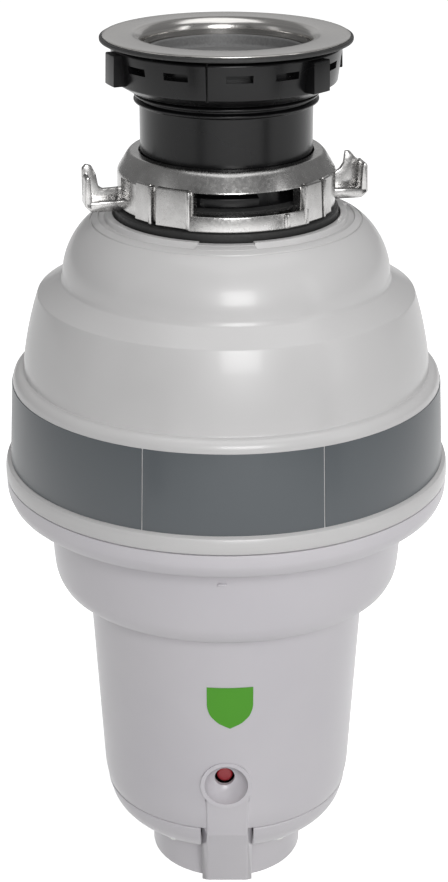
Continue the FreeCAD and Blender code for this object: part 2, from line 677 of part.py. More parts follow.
def lower_shell():
    wall, radius, high = D["shell_wall"], D["bulge_radius"], D["parting_height"] - 0.3
    skirt, low = D["skirt_radius"], D["skirt_bottom"]
    body = lathe("lower_shell_body", [
        (D["cover_top_radius"] + 0.6, low), (skirt - 4.0, low), (skirt - 1.0, low + 5.0, 5.5),
        (skirt, low + 16.0), (skirt + 0.6, 202.0), (skirt + 3.6, 205.0, -3.0), (radius - 4.2, 206.4),
        (radius - 0.9, 209.8, 3.6), (radius - 0.2, high), (radius - 2.7, high), (radius - 2.7, high + 3.4),
        (radius - 4.8, high + 3.4), (radius - 4.8, 209.4), (skirt + 3.0, 207.6), (skirt - 1.9, 203.0),
        (skirt - wall, low + 16.0), (skirt - wall - 1.2, low + wall + 3.0), (skirt - 6.0, low + wall),
        (D["cover_top_radius"] + 0.6, low + wall),
    ])
    holes = [rod(f"skirt_hole_{i}", CLEARANCE, 8.0, at_azimuth(SKIRT_CIRCLE, a, 158.0))
             for i, a in enumerate(spread(4, 45.0))]
    outlet = rod("lower_shell_outlet", 26.0, 60.0, outlet_axis(80.0), BACK)
    keep(bored("lower_shell_bored", body, outlet, *holes), "lower_shell")
    keep(group("skirt_screws", *[
        screw(f"skirt_screw_{i}", SELF_TAPPER, 4.0, 2.6, 9.5, at_azimuth(SKIRT_CIRCLE, a, 158.6), UP)
        for i, a in enumerate(spread(4, 45.0))
    ]), "shell_screws")


def label_band():
    gap, foil = 0.03, 0.35
    low, high = D["band_bottom"] + 0.5, D["band_top"] - 0.3
    inner_low, inner_high = D["band_bottom_radius"] + gap, D["band_top_radius"] + gap
    band = lathe("band", [
        (inner_low, low), (inner_low + foil, low), (inner_high + foil, high), (inner_high, high),
    ], angle=296.0, turn=heading(0.0))
    keep(band, "label_band")


def sound_insulation():
    body = lathe("insulation_body", [
        (86.5, 228.0), (100.5, 228.0), (98.5, 262.0), (92.5, 266.0), (92.5, 276.0),
        (86.5, 304.0), (76.0, 304.0), (76.0, 266.0), (86.5, 264.0),
    ])
    outlet = rod("insulation_outlet", 27.0, 60.0, outlet_axis(60.0), BACK)
    inlet = rod("insulation_inlet", 15.0, 60.0, inlet_axis(50.0), BACK)
    keep(bored("insulation_bored", body, outlet, inlet), "sound_insulation")


def buttress():
    """The slanting rib that runs from the reset dish down to the foot."""
    body = new_body("buttress")
    sketch = new_sketch(body, "YZ_Plane")
    outline(sketch, [
        (-40.9, 0.5), (-40.9, 12.0), (-57.5, 46.0), (-61.5, 66.0), (-65.6, 66.0), (-63.0, 41.4), (-42.0, 0.5),
    ])
    pad = body.newObject("PartDesign::Pad", "buttress_pad")
    pad.Profile = sketch
    pad.Length = 24.0
    pad.Midplane = True
    return body


def motor_cover():
    wall, low = D["shell_wall"], D["cover_bottom"]
    radius, top_radius = D["cover_radius"], D["cover_top_radius"]
    floor = D["skirt_bottom"] + wall
    body = lathe("cover_body", [
        (radius - 4.0, low), (radius - 1.4, low), (radius, low + 7.4, 16.0), (top_radius, floor + 0.2),
        (79.5, floor + 0.2), (79.5, floor + 2.8),
        (top_radius - wall, floor + 2.8), (radius - wall, low + 7.4),
    ])
    face = 64.9
    depth = 8.5
    mouth = number(D["dish_radius"])
    dish = (mouth * mouth + depth * depth) / (2 * depth)
    height = number(D["dish_height"])
    centre = V(0, -(face + dish - depth), height)
    limit = rod("dish_limit", 64.0, 60.0, V(0, 0, 45))
    bowl = common("dish_bowl", ball("dish_outside", dish + 2.0, centre), limit)
    blank = fuse("cover_blank", body, buttress(), bowl)
    dish_tool = ball("dish_inside", dish, centre)
    hole = rod("dish_hole", D["button_radius"] + 1.0, 30.0, V(-0.8, -74.0, height), BACK)
    gland = rod("gland_hole", 7.2, 30.0, V(0, 50, number(D["gland_height"])), BACK)
    holes = [rod(f"cover_hole_{i}", PILOT, 12.0, at_azimuth(SKIRT_CIRCLE, a, 160.0))
             for i, a in enumerate(spread(4, 45.0))]
    keep(bored("cover_bored", cut("cover_dished", blank, dish_tool), hole, gland, *holes), "motor_cover")


def base_cover():
    foot, high, radius = D["foot_radius"], D["foot_height"], D["cover_radius"]
    edge = D["cover_bottom"] - 0.3
    body = lathe("base_body", [
        (0, 0), (foot - 2.0, 0), (foot, 2.0, 2.0), (foot, high), (52.0, high + 1.5), (57.0, high + 6.0, 8.0),
        (radius - 1.5, edge, 30.0), (radius - 4.1, edge), (54.6, high + 7.0), (51.0, high + 4.0),
        (foot - 2.5, high + 2.5), (foot - 2.5, 2.5), (0, 2.5),
    ])
    notch = block("base_notch", (-12.4, -75.0, -1.0), (24.8, 34.4, 60.0))
    tools = [notch]
    tools += [rod(f"base_hole_{i}", CLEARANCE, 10.0, at_azimuth(FOOT_CIRCLE, a, 22.0))
              for i, a in enumerate(LEGS)]
    tools += [rod(f"vent_{i}", 2.5, 6.0, at_azimuth(26.0, a, -1.0)) for i, a in enumerate(spread(12))]
    keep(bored("base_bored", body, *tools), "base_cover")
    keep(group("foot_screws", *[
        screw(f"foot_screw_{i}", SELF_TAPPER, 4.0, 2.6, 15.0, at_azimuth(FOOT_CIRCLE, a, 23.6), UP)
        for i, a in enumerate(LEGS)
    ]), "base_screws")


def shield_badge():
    middle = 1.8
    high, low, half = 128.7, 105.5, 11.3
    plate = prism("badge_outline", "XZ_Plane", [
        (middle + half, low + 12.0, 16.0), (middle + half, high), (middle - half, high),
        (middle - half, low + 12.0), (middle, low, 16.0),
    ], 90.0)
    slope = (number(D["cover_top_radius"]) - number(D["cover_radius"])) / 112.0
    base = number(D["cover_radius"]) - slope * 52.0
    inner = [base + slope * z + 0.03 for z in (90.0, 140.0)]
    foil = lathe("badge_foil", [
        (inner[0], 90.0), (inner[0] + 0.35, 90.0), (inner[1] + 0.35, 140.0), (inner[1], 140.0),
    ])
    keep(common("badge", plate, foil), "shield_badge")


# Motor ---------------------------------------------------------------------------------------

def rotor():
    shaft = D["shaft_radius"]
    turn_top = D["turntable_top"]
    keep(lathe("shaft_body", [
        (0, 79.0), (shaft - 1.0, 79.0), (shaft - 1.0, 91.5),
        (shaft, 91.5), (shaft, turn_top + 3.5), (0, turn_top + 3.5),
    ]), "rotor_shaft")
    body = new_body("armature_core")
    turned(body, "Revolution", [
        (shaft, 124.5), (D["core_radius"], 124.5), (D["core_radius"], 176.0), (shaft, 176.0),
    ])
    slot = turned(body, "Groove", [
        (26.0, 120.0), (48.0, 120.0), (48.0, 180.0), (26.0, 180.0),
    ], angle=9.0)
    repeated(body, slot, 16)
    keep(body, "armature_core")
    coils = new_body("armature_windings")
    turned(coils, "Revolution", [
        (20.0, 114.5), (38.0, 114.5), (42.0, 119.0), (42.0, 124.45), (18.0, 124.45), (18.0, 117.0),
    ])
    crown = turned(coils, "Revolution", [
        (18.0, 176.05), (42.0, 176.05), (42.0, 183.0), (38.0, 188.0), (20.0, 188.0), (18.0, 185.0),
    ])
    bar = turned(coils, "Revolution", [
        (27.0, 124.0), (41.5, 124.0), (41.5, 176.5), (27.0, 176.5),
    ], angle=7.6)
    repeated(coils, bar, 16)
    keep(coils, "armature_windings")
    commutator = new_body("commutator")
    turned(commutator, "Revolution", [
        (shaft, 96.0), (17.0, 96.0), (17.0, 112.0), (19.5, 112.0), (19.5, 114.0), (shaft, 114.0),
    ])
    gap = turned(commutator, "Groove", [
        (15.8, 95.0), (20.5, 95.0), (20.5, 115.0), (15.8, 115.0),
    ], angle=2.4)
    repeated(commutator, gap, 16)
    keep(commutator, "commutator")


def bearings():
    shaft = D["shaft_radius"]
    keep(ring("upper_bearing", 16.1, shaft + 0.03, 209.0, 219.0), "upper_bearing")
    keep(ring("lower_bearing", 11.0, shaft - 1.0 + 0.03, 82.0, 90.0), "lower_bearing")
    keep(lathe("seal_body", [
        (shaft + 0.06, 225.5), (14.05, 225.5), (14.05, 231.5), (11.5, 231.5),
        (11.5, 227.5), (shaft + 1.5, 227.5), (shaft + 0.9, 229.0), (shaft + 0.06, 229.0),
    ]), "shaft_seal")


def stator():
    low, high, radius = D["can_bottom"], D["can_top"], D["can_radius"]
    keep(ring("motor_can", radius, radius - 2.5, low, high), "motor_can")
    for index in range(4):
        magnet = lathe(f"magnet_{index + 1}", [
            (47.0, 118.0), (53.3, 118.0), (53.3, 184.0), (47.0, 184.0),
        ], angle=76.0, turn=heading(90.0 * index))
        keep(magnet, f"magnet_{index + 1}")
    bell = lathe("bell_body", [
        (5.6, 80.0), (14.0, 79.0), (50.0, 83.0), (radius, 87.0), (radius, low), (20.0, low),
        (16.0, 90.5), (11.05, 90.5), (11.05, 81.9), (5.6, 81.9),
    ])
    legs = [rod(f"bell_leg_{i}", 5.0, 54.0, at_azimuth(FOOT_CIRCLE, a, 30.1)) for i, a in enumerate(LEGS)]
    holes = [rod(f"leg_hole_{i}", PILOT, 20.0, at_azimuth(FOOT_CIRCLE, a, 26.0)) for i, a in enumerate(LEGS)]
    holes += [rod(f"bell_hole_{i}", CLEARANCE, 20.0, at_azimuth(BOLT_CIRCLE, a, 76.0))
              for i, a in enumerate(spread(4, 45.0))]
    keep(bored("bell_bored", fuse("bell_blank", bell, *legs), *holes), "lower_end_bell")


def through_bolts():
    bolts = [screw(f"through_bolt_{i}", 2.0, 3.6, 3.0, 140.0, at_azimuth(BOLT_CIRCLE, a, 79.5), UP)
             for i, a in enumerate(spread(4, 45.0))]
    keep(group("bolts", *bolts), "motor_through_bolts")


def outward(sign, start, length):
    """The lower end along X of a block that starts at a distance from the axis on one side."""
    return start if sign > 0 else -start - length


def brush_gear():
    low = 95.2
    plate = ring("brush_plate_blank", 53.2, 24.0, D["can_bottom"] + 1.0, D["can_bottom"] + 3.0)
    holes = [rod(f"plate_clear_{i}", 2.3, 6.0, at_azimuth(BOLT_CIRCLE, a, 91.0))
             for i, a in enumerate(spread(4, 45.0))]
    keep(bored("brush_plate_bored", plate, *holes), "brush_plate")
    for side, sign in (("left", -1), ("right", 1)):
        case = block(f"holder_case_{side}", (outward(sign, 20.0, 24.0), -6.5, low), (24.0, 13.0, 16.0))
        inside = (outward(sign, 18.0, 24.0), -4.2, low + 3.0)
        hollow = block(f"holder_hollow_{side}", inside, (24.0, 8.4, 10.0))
        keep(cut(f"holder_{side}", case, hollow), f"brush_holder_{side}")
        carbon = block(f"carbon_{side}", (outward(sign, 17.4, 14.0), -4.0, low + 3.2), (14.0, 8.0, 9.6))
        keep(carbon, f"brush_{side}")
        spring = rod(f"spring_core_{side}", 3.2, 10.0, V(sign * 31.7, 0, low + 8.0), V(sign, 0, 0))
        keep(spring, f"brush_spring_{side}")


def electrics():
    keep(fuse("rectifier",
              rod("board", 40.0, 1.6, V(0, 0, 46.0)),
              block("bridge", (-14.0, 4.0, 47.6), (28.0, 22.0, 9.0)),
              block("terminals", (-10.0, 28.0, 47.6), (20.0, 8.0, 8.0))), "rectifier_board")
    height = number(D["dish_height"])
    case = block("protector_case", (-13.0, -50.0, height - 11.0), (26.0, 20.0, 19.0))
    guide = rod("protector_guide", D["button_radius"] + 0.3, 12.0, V(-0.8, -51.0, height), BACK)
    keep(cut("protector", case, guide), "overload_protector")
    keep(rod("button", D["button_radius"], 13.5, V(-0.8, -55.5, height), BACK), "reset_button")
    gland_height = number(D["gland_height"])
    nut = prism("gland_nut", "XZ_Plane", [
        (11.0 * math.cos(math.radians(60 * i)), gland_height + 11.0 * math.sin(math.radians(60 * i)))
        for i in range(6)
    ], 6.0, offset=-71.0)
    stem = rod("gland_stem", 7.0, 24.0, V(0, 54.0, gland_height), BACK)
    bore = rod("gland_bore", D["cord_bore"], 60.0, V(0, 40.0, gland_height), BACK)
    keep(cut("gland", fuse("gland_blank", nut, stem), bore), "cord_gland")


def check_and_write():
    doc.recompute()
    broken = [o.Name for o in doc.Objects if "Invalid" in o.State or "Error" in o.State]
    broken += [n.Label for n in nodes if n.Shape.isNull() or not n.Shape.isValid() or not n.Shape.Solids]
    if broken:
        raise RuntimeError("not built: " + ", ".join(broken))
    os.makedirs(PARTS_FOLDER, exist_ok=True)
    for node in nodes:
        node.Shape.exportStep(os.path.join(PARTS_FOLDER, node.Label + ".step"))
        print(f"{node.Label}: {len(node.Shape.Solids)} solid(s), {node.Shape.Volume / 1000:.2f} cm3")


for build in (
    sink_flange, threaded_sleeve, flange_gasket, friction_ring, mounting_nut, splash_guard, mounting_ring,
    seals_of_the_neck, hopper, shredder_ring, turntable, impellers, drain_housing, discharge, upper_shell,
    lower_shell, label_band, sound_insulation, motor_cover, base_cover, shield_badge, rotor, bearings, stator,
    through_bolts, brush_gear, electrics,
):
    build()
check_and_write()
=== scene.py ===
"""Looks of the kitchen waste disposer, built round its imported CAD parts. Lengths are metres."""
import json
import math

import bmesh
import bpy
from mathutils import Matrix, Vector


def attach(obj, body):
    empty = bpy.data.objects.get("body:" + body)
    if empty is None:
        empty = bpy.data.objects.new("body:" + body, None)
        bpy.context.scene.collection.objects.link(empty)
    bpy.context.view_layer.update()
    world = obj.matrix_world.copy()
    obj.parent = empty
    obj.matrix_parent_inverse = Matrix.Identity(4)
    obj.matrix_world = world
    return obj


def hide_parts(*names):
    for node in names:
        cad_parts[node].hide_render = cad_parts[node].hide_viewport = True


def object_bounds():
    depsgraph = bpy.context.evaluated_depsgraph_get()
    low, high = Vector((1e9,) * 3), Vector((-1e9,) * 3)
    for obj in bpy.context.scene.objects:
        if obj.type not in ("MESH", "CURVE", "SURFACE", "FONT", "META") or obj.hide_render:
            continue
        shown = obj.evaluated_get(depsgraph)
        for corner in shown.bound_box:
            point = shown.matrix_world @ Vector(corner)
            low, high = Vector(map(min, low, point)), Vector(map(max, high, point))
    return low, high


MM = 0.001
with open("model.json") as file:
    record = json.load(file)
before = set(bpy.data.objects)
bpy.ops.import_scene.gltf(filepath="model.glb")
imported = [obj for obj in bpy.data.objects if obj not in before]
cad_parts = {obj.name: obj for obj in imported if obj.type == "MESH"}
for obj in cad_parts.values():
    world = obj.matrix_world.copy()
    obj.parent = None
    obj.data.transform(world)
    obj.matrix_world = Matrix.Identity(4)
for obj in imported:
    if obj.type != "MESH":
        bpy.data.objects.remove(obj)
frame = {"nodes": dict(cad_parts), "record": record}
cad_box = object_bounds()
scene = bpy.context.scene


# Camera ------------------------------------------------------------------------------------

def place_camera():
    lens = bpy.data.cameras.new("camera")
    lens.lens = 80
    lens.sensor_width = 36
    lens.shift_x = -0.0026
    camera = bpy.data.objects.new("camera", lens)
    camera.location = (0, -0.902, 0.596)
    camera.rotation_euler = (math.radians(67.92), 0, 0)
    scene.collection.objects.link(camera)
    scene.camera = camera


place_camera()


# Materials ---------------------------------------------------------------------------------

def paint(code):
    """An sRGB hex colour as linear values."""
    parts = [int(code[i:i + 2], 16) / 255 for i in (0, 2, 4)]
    return [c / 12.92 if c <= 0.04045 else ((c + 0.055) / 1.055) ** 2.4 for c in parts] + [1.0]


# The colour sockets of a Mix node: its two inputs and its result.
MIX_A, MIX_B, MIXED = 6, 7, 2


def node(material, kind, inputs=None, links=None, **settings):
    """Adds a node. inputs are socket values; links are socket: (node, output) pairs."""
    made = material.node_tree.nodes.new(kind)
    for name, value in settings.items():
        setattr(made, name, value)
    for name, value in (inputs or {}).items():
        made.inputs[name].default_value = value
    for name, (source, output) in (links or {}).items():
        material.node_tree.links.new(source.outputs[output], made.inputs[name])
    return made


def blank_material(name):
    material = bpy.data.materials.new(name)
    material.use_nodes = True
    material.node_tree.nodes.clear()
    return material


def moulded_plastic(name, light, dark, grain_mm=0.9, roughness=(0.34, 0.46), bump=0.06, coat=0.0, gleam=0.5):
    """An injection-moulded plastic: a fine spark-eroded grain, and slow uneven shine where it cooled."""
    material = blank_material(name)
    space = node(material, "ShaderNodeTexCoord")
    cloud = node(material, "ShaderNodeTexNoise", {"Scale": 14.0, "Detail": 3.0},
                 {"Vector": (space, "Object")})
    grain = node(material, "ShaderNodeTexNoise", {"Scale": 1 / (grain_mm * MM), "Detail": 2.0},
                 {"Vector": (space, "Object")})
    spread = node(material, "ShaderNodeMapRange", {"From Min": 0.35, "From Max": 0.65},
                  {"Value": (cloud, "Fac")})
    tint = node(material, "ShaderNodeMix", {MIX_A: paint(dark), MIX_B: paint(light)},
                {0: (spread, "Result")}, data_type="RGBA")
    shine = node(material, "ShaderNodeMapRange", {
        "From Min": 0.3, "From Max": 0.7, "To Min": roughness[0], "To Max": roughness[1],
    }, {"Value": (cloud, "Fac")})
    relief = node(material, "ShaderNodeBump", {"Strength": bump, "Distance": 0.0004},
                  {"Height": (grain, "Fac")})
    shader = node(material, "ShaderNodeBsdfPrincipled", {
        "IOR": 1.5, "Specular IOR Level": gleam, "Coat Weight": coat, "Coat Roughness": 0.12,
    }, {
        "Base Color": (tint, MIXED), "Roughness": (shine, "Result"), "Normal": (relief, "Normal"),
    })
    node(material, "ShaderNodeOutputMaterial", links={"Surface": (shader, "BSDF")})
    return material


def brushed_metal(name, light, dark, roughness=(0.18, 0.3), stretch=(8, 8, 900), bump=0.05):
    """A metal with a directional grain: fine scratches that lie one way and spread the shine across them."""
    material = blank_material(name)
    place = node(material, "ShaderNodeTexCoord")
    space = node(material, "ShaderNodeMapping", {"Scale": stretch}, {"Vector": (place, "Object")})
    scratch = node(material, "ShaderNodeTexNoise", {"Scale": 3.0, "Detail": 6.0},
                   {"Vector": (space, "Vector")})
    spread = node(material, "ShaderNodeMapRange", {"From Min": 0.3, "From Max": 0.7},
                  {"Value": (scratch, "Fac")})
    tint = node(material, "ShaderNodeMix", {MIX_A: paint(dark), MIX_B: paint(light)},
                {0: (spread, "Result")}, data_type="RGBA")
    shine = node(material, "ShaderNodeMapRange", {
        "From Min": 0.3, "From Max": 0.7, "To Min": roughness[0], "To Max": roughness[1],
    }, {"Value": (scratch, "Fac")})
    relief = node(material, "ShaderNodeBump", {"Strength": bump, "Distance": 0.0002},
                  {"Height": (scratch, "Fac")})
    shader = node(material, "ShaderNodeBsdfPrincipled", {"Metallic": 1.0}, {
        "Base Color": (tint, MIXED), "Roughness": (shine, "Result"), "Normal": (relief, "Normal"),
    })
    node(material, "ShaderNodeOutputMaterial", links={"Surface": (shader, "BSDF")})
    return material


def cast_metal(name, light, dark, grain_mm=1.6, roughness=(0.22, 0.42), bump=0.25):
    """A casting tumbled bright: soft pits and rounded unevenness under the polish."""
    material = blank_material(name)
    space = node(material, "ShaderNodeTexCoord")
    pits = node(material, "ShaderNodeTexNoise", {"Scale": 1 / (grain_mm * MM), "Detail": 5.0},
                {"Vector": (space, "Object")})
    waves = node(material, "ShaderNodeTexNoise", {"Scale": 90.0, "Detail": 2.0},
                 {"Vector": (space, "Object")})
    spread = node(material, "ShaderNodeMapRange", {"From Min": 0.35, "From Max": 0.65},
                  {"Value": (waves, "Fac")})
    tint = node(material, "ShaderNodeMix", {MIX_A: paint(dark), MIX_B: paint(light)},
                {0: (spread, "Result")}, data_type="RGBA")
    shine = node(material, "ShaderNodeMapRange", {
        "From Min": 0.3, "From Max": 0.7, "To Min": roughness[0], "To Max": roughness[1],
    }, {"Value": (pits, "Fac")})
    relief = node(material, "ShaderNodeBump", {"Strength": bump, "Distance": 0.0003},
                  {"Height": (pits, "Fac")})
    swell = node(material, "ShaderNodeBump", {"Strength": 0.1, "Distance": 0.0006},
                 {"Height": (waves, "Fac"), "Normal": (relief, "Normal")})
    shader = node(material, "ShaderNodeBsdfPrincipled", {"Metallic": 1.0}, {
        "Base Color": (tint, MIXED), "Roughness": (shine, "Result"), "Normal": (swell, "Normal"),
    })
    node(material, "ShaderNodeOutputMaterial", links={"Surface": (shader, "BSDF")})
    return material


def soft_rubber(name, light, dark, grain_mm=1.2, roughness=(0.5, 0.72)):
    """Moulded rubber: a dull, slightly dusty skin."""
    material = blank_material(name)
    space = node(material, "ShaderNodeTexCoord")
    dust = node(material, "ShaderNodeTexNoise", {"Scale": 1 / (grain_mm * MM), "Detail": 4.0},
                {"Vector": (space, "Object")})
    spread = node(material, "ShaderNodeMapRange", {"From Min": 0.3, "From Max": 0.75},
                  {"Value": (dust, "Fac")})
    tint = node(material, "ShaderNodeMix", {MIX_A: paint(dark), MIX_B: paint(light)},
                {0: (spread, "Result")}, data_type="RGBA")
    shine = node(material, "ShaderNodeMapRange", {
        "From Min": 0.3, "From Max": 0.7, "To Min": roughness[0], "To Max": roughness[1],
    }, {"Value": (dust, "Fac")})
    relief = node(material, "ShaderNodeBump", {"Strength": 0.2, "Distance": 0.0002},
                  {"Height": (dust, "Fac")})
    shader = node(material, "ShaderNodeBsdfPrincipled", {"IOR": 1.52, "Sheen Weight": 0.05}, {
        "Base Color": (tint, MIXED), "Roughness": (shine, "Result"), "Normal": (relief, "Normal"),
    })
    node(material, "ShaderNodeOutputMaterial", links={"Surface": (shader, "BSDF")})
    return material


FINISHES = {
    # Stainless sheet, brushed round the flange and polished at the mouth: fine rings of shine.
    "brushed_flange": brushed_metal("brushed_stainless_flange", "c9c7c4", "b4b2b0", (0.16, 0.26)),
    # Glass-filled nylon moulded in polished tools: deep black with a soft gloss.
    "black_plastic": moulded_plastic("black_moulded_nylon", "0c0c0d", "080809", 0.8, (0.2, 0.3), 0.03,
                                     gleam=0.24),
    # Moulded rubber: charcoal, dull, slightly dusty.
    "black_rubber": soft_rubber("black_moulded_rubber", "191919", "101010"),
    # The splash guard's rubber is a lighter, chalkier grey, wiped dull by water.
    "grey_rubber": soft_rubber("grey_baffle_rubber", "6a6a6a", "565656", 1.0, (0.4, 0.6)),
    # Pressed fibre washer: dark, fuzzy, no shine.
    "fibre": soft_rubber("pressed_fibre", "2a2722", "1b1916", 0.6, (0.8, 0.95)),
    # Zinc or aluminium casting tumbled bright: silvery, soft lumps, uneven polish.
    "cast_ring": cast_metal("tumbled_bright_casting", "b4b3b2", "a6a5a4", 1.6, (0.2, 0.3), 0.05),
    # Glass-filled nylon in a textured tool.
    "filled_nylon": moulded_plastic("glass_filled_nylon", "343434", "262626", 1.4, (0.5, 0.65), 0.2),
    # ABS shell painted silver grey: satin, almost no grain.
    "upper_grey": moulded_plastic("satin_silver_grey_abs_upper", "c3c2c2", "bebdbd", 0.9, (0.32, 0.4), 0.03,
                                  0.2),
    "lower_grey": moulded_plastic("satin_silver_grey_abs_lower", "c9c6ca", "c4c1c6", 0.9, (0.34, 0.42), 0.03,
                                  0.15),
    # Foil printed slate grey under a clear film: smooth, with a faint print grain.
    "band_grey": moulded_plastic("slate_printed_foil", "4a4f53", "464b4f", 0.4, (0.36, 0.44), 0.02, 0.1),
    # Vinyl sticker, printed green under a clear film.
    "badge_green": moulded_plastic("green_vinyl", "4c9a1e", "47921c", 0.5, (0.35, 0.45), 0.02, gleam=0.3),
    # Red acetal button: smooth and slightly waxy.
    "button_red": moulded_plastic("red_acetal", "9c1a26", "86141e", 0.6, (0.25, 0.35), 0.03),
    # Zinc-plated steel: pale, faintly mottled.
    "screw_steel": cast_metal("zinc_plated_steel", "b9bab6", "a5a6a3", 0.5, (0.25, 0.38), 0.05),
    # Closed-cell foam: dull grey with a pebbled skin.
    "foam": soft_rubber("closed_cell_foam", "7c7c7c", "696969", 2.0, (0.85, 0.95)),
    # Stamped stainless steel: fine rolling lines.
    "stainless": brushed_metal("stamped_stainless", "c2c1be", "aeadab", (0.22, 0.34), (300, 20, 20)),
    # Aluminium as cast: pale grey, matt and pitted.
    "die_cast": cast_metal("aluminium_as_cast", "b3b3b2", "a0a09f", 0.8, (0.42, 0.6), 0.3),
    # Zinc-plated pressed steel: faint rolling lines.
    "zinc_steel": brushed_metal("zinc_plated_sheet", "b4b5b1", "a1a29f", (0.3, 0.42), (30, 30, 500)),
    # White polypropylene: soft waxy shine.
    "white_plastic": moulded_plastic("white_polypropylene", "dcdcd8", "d3d3cf", 1.0, (0.4, 0.5), 0.08),
    # Sintered ferrite: charcoal, gritty.
    "ferrite": soft_rubber("sintered_ferrite", "4a4a4c", "39393b", 0.7, (0.6, 0.8)),
    # Stacked laminations: fine level lines of bare steel edges, 0.5 mm apart.
    "lamination": brushed_metal("stacked_laminations", "8c8c8e", "5c5c5f", (0.4, 0.6), (4, 4, 2000), 0.4),
    # Enamelled copper wire.
    "copper": brushed_metal("enamelled_copper", "b9683a", "93492a", (0.28, 0.45), (200, 200, 900), 0.3),
    # Ground bearing steel.
    "bearing_steel": brushed_metal("ground_bearing_steel", "c4c4c2", "b3b3b1", (0.16, 0.24)),
    # Glass-epoxy board: dull green brown with a woven texture.
    "brush_board": moulded_plastic("glass_epoxy_board", "4c5a33", "3f4b2b", 0.7, (0.4, 0.55), 0.15),
    # Folded brass strip.
    "brass_holder": brushed_metal("folded_brass", "c9a45c", "b18d4a", (0.25, 0.36), (20, 400, 20)),
    # Pressed carbon graphite: nearly black with a faint metallic grain.
    "carbon": soft_rubber("carbon_graphite", "303032", "202022", 0.5, (0.45, 0.6)),
}

slot_of = {part["node"]: part["material_slot"] for part in frame["record"]["subparts"]}
body_of = {name: body for body, names in frame["record"]["behaviour"]["bodies"].items() for name in names}

for name, part in frame["nodes"].items():
    part.data.materials.clear()
    part.data.materials.append(FINISHES[slot_of[name]])


# Mesh tools --------------------------------------------------------------------------------

SMOOTH_BELOW = math.radians(32)


def at_azimuth(radius, azimuth, height=0.0):
    """A place given in millimetres and in degrees from the front, growing to the right."""
    turn = math.radians(azimuth - 90)
    return Vector((radius * math.cos(turn), radius * math.sin(turn), height)) * MM


def swing(azimuth):
    """Turns what was made at +X to an azimuth."""
    return Matrix.Rotation(math.radians(azimuth - 90), 4, "Z")


def section(points):
    """A flat outline of (radius, height) points in the XZ plane. A third value cuts that corner back."""
    mesh = bmesh.new()
    corners = [mesh.verts.new((p[0] * MM, 0, p[1] * MM)) for p in points]
    mesh.faces.new(corners)
    for corner, point in zip(corners, points):
        if len(point) > 2 and point[2] > 0:
            steps = 4 if point[2] < 4 else 12
            bmesh.ops.bevel(mesh, geom=[corner], offset=point[2] * MM, segments=steps, profile=0.5,
                            affect="VERTICES", material=-1)
    return mesh


def lathe(points, steps=160, angle=360.0, azimuth=0.0):
    """An outline turned about Z: a full turn, or a sweep of some degrees centred on an azimuth."""
    mesh = section(points)
    if angle >= 360:
        bmesh.ops.delete(mesh, geom=mesh.faces[:], context="FACES_ONLY")
        bmesh.ops.spin(mesh, geom=mesh.edges[:], cent=(0, 0, 0), axis=(0, 0, 1), dvec=(0, 0, 0),
                       angle=math.tau, steps=steps, use_merge=True)
        bmesh.ops.remove_doubles(mesh, verts=mesh.verts[:], dist=1e-7)
    else:
        face = mesh.faces[:]
        turn = math.radians(angle)
        bmesh.ops.rotate(mesh, verts=mesh.verts[:], cent=(0, 0, 0), matrix=Matrix.Rotation(-turn / 2, 3, "Z"))
        bmesh.ops.spin(mesh, geom=face, cent=(0, 0, 0), axis=(0, 0, 1), dvec=(0, 0, 0),
                       angle=turn, steps=steps)
        bmesh.ops.transform(mesh, matrix=swing(azimuth), verts=mesh.verts[:])
    bmesh.ops.recalc_face_normals(mesh, faces=mesh.faces[:])
    return mesh


def soften(mesh, edges, width, segments=2, clamp=False):
    """Rounds some edges over by a width in millimetres."""
    bmesh.ops.bevel(mesh, geom=edges, offset=width * MM, segments=segments, profile=0.5,
                    affect="EDGES", material=-1, clamp_overlap=clamp)


def pushed(outline, push):
    """A flat outline of points pushed along a vector, closed at both ends."""
    mesh = bmesh.new()
    face = mesh.faces.new([mesh.verts.new((x * MM, y * MM, z * MM)) for x, y, z in outline])
    pulled = bmesh.ops.extrude_face_region(mesh, geom=[face])["geom"]
    moved = [v for v in pulled if isinstance(v, bmesh.types.BMVert)]
    bmesh.ops.translate(mesh, verts=moved, vec=[c * MM for c in push])
    bmesh.ops.recalc_face_normals(mesh, faces=mesh.faces[:])
    return mesh


def slab(points, low, high, matrix=None, bevel=0.0):
    """A flat outline of (x, y) points pulled up from one height to another, with softened edges."""
    mesh = pushed([(x, y, low) for x, y in points], (0, 0, high - low))
    if bevel:
        soften(mesh, mesh.edges[:], bevel)
    if matrix is not None:
        bmesh.ops.transform(mesh, matrix=matrix, verts=mesh.verts[:])
    return mesh


def box(low, high, matrix=None, bevel=0.0):
    """A square-cornered block between two corners."""
    (x0, y0, z0), (x1, y1, z1) = low, high
    return slab([(x0, y0), (x1, y0), (x1, y1), (x0, y1)], z0, z1, matrix, bevel)


def rod(radius, length, base, axis=(0, 0, 1), bevel=0.0, steps=48):
    """A round bar from a base point in metres along an axis."""
    mesh = bmesh.new()
    bmesh.ops.create_cone(mesh, cap_ends=True, segments=steps, radius1=radius * MM, radius2=radius * MM,
                          depth=length * MM)
    if bevel:
        rims = [e for e in mesh.edges if abs(e.verts[0].co.z - e.verts[1].co.z) < 1e-9]
        soften(mesh, rims, bevel, 3)
    bmesh.ops.translate(mesh, verts=mesh.verts[:], vec=(0, 0, length * MM / 2))
    aim = Vector((0, 0, 1)).rotation_difference(Vector(axis)).to_matrix().to_4x4()
    bmesh.ops.transform(mesh, matrix=Matrix.Translation(base) @ aim, verts=mesh.verts[:])
    return mesh


def mark_edges(mesh):
    """Faces shade smoothly, apart from across the edges sharper than SMOOTH_BELOW."""
    for face in mesh.faces:
        face.smooth = True
    for edge in mesh.edges:
        edge.smooth = len(edge.link_faces) == 2 and edge.calc_face_angle(0.0) < SMOOTH_BELOW


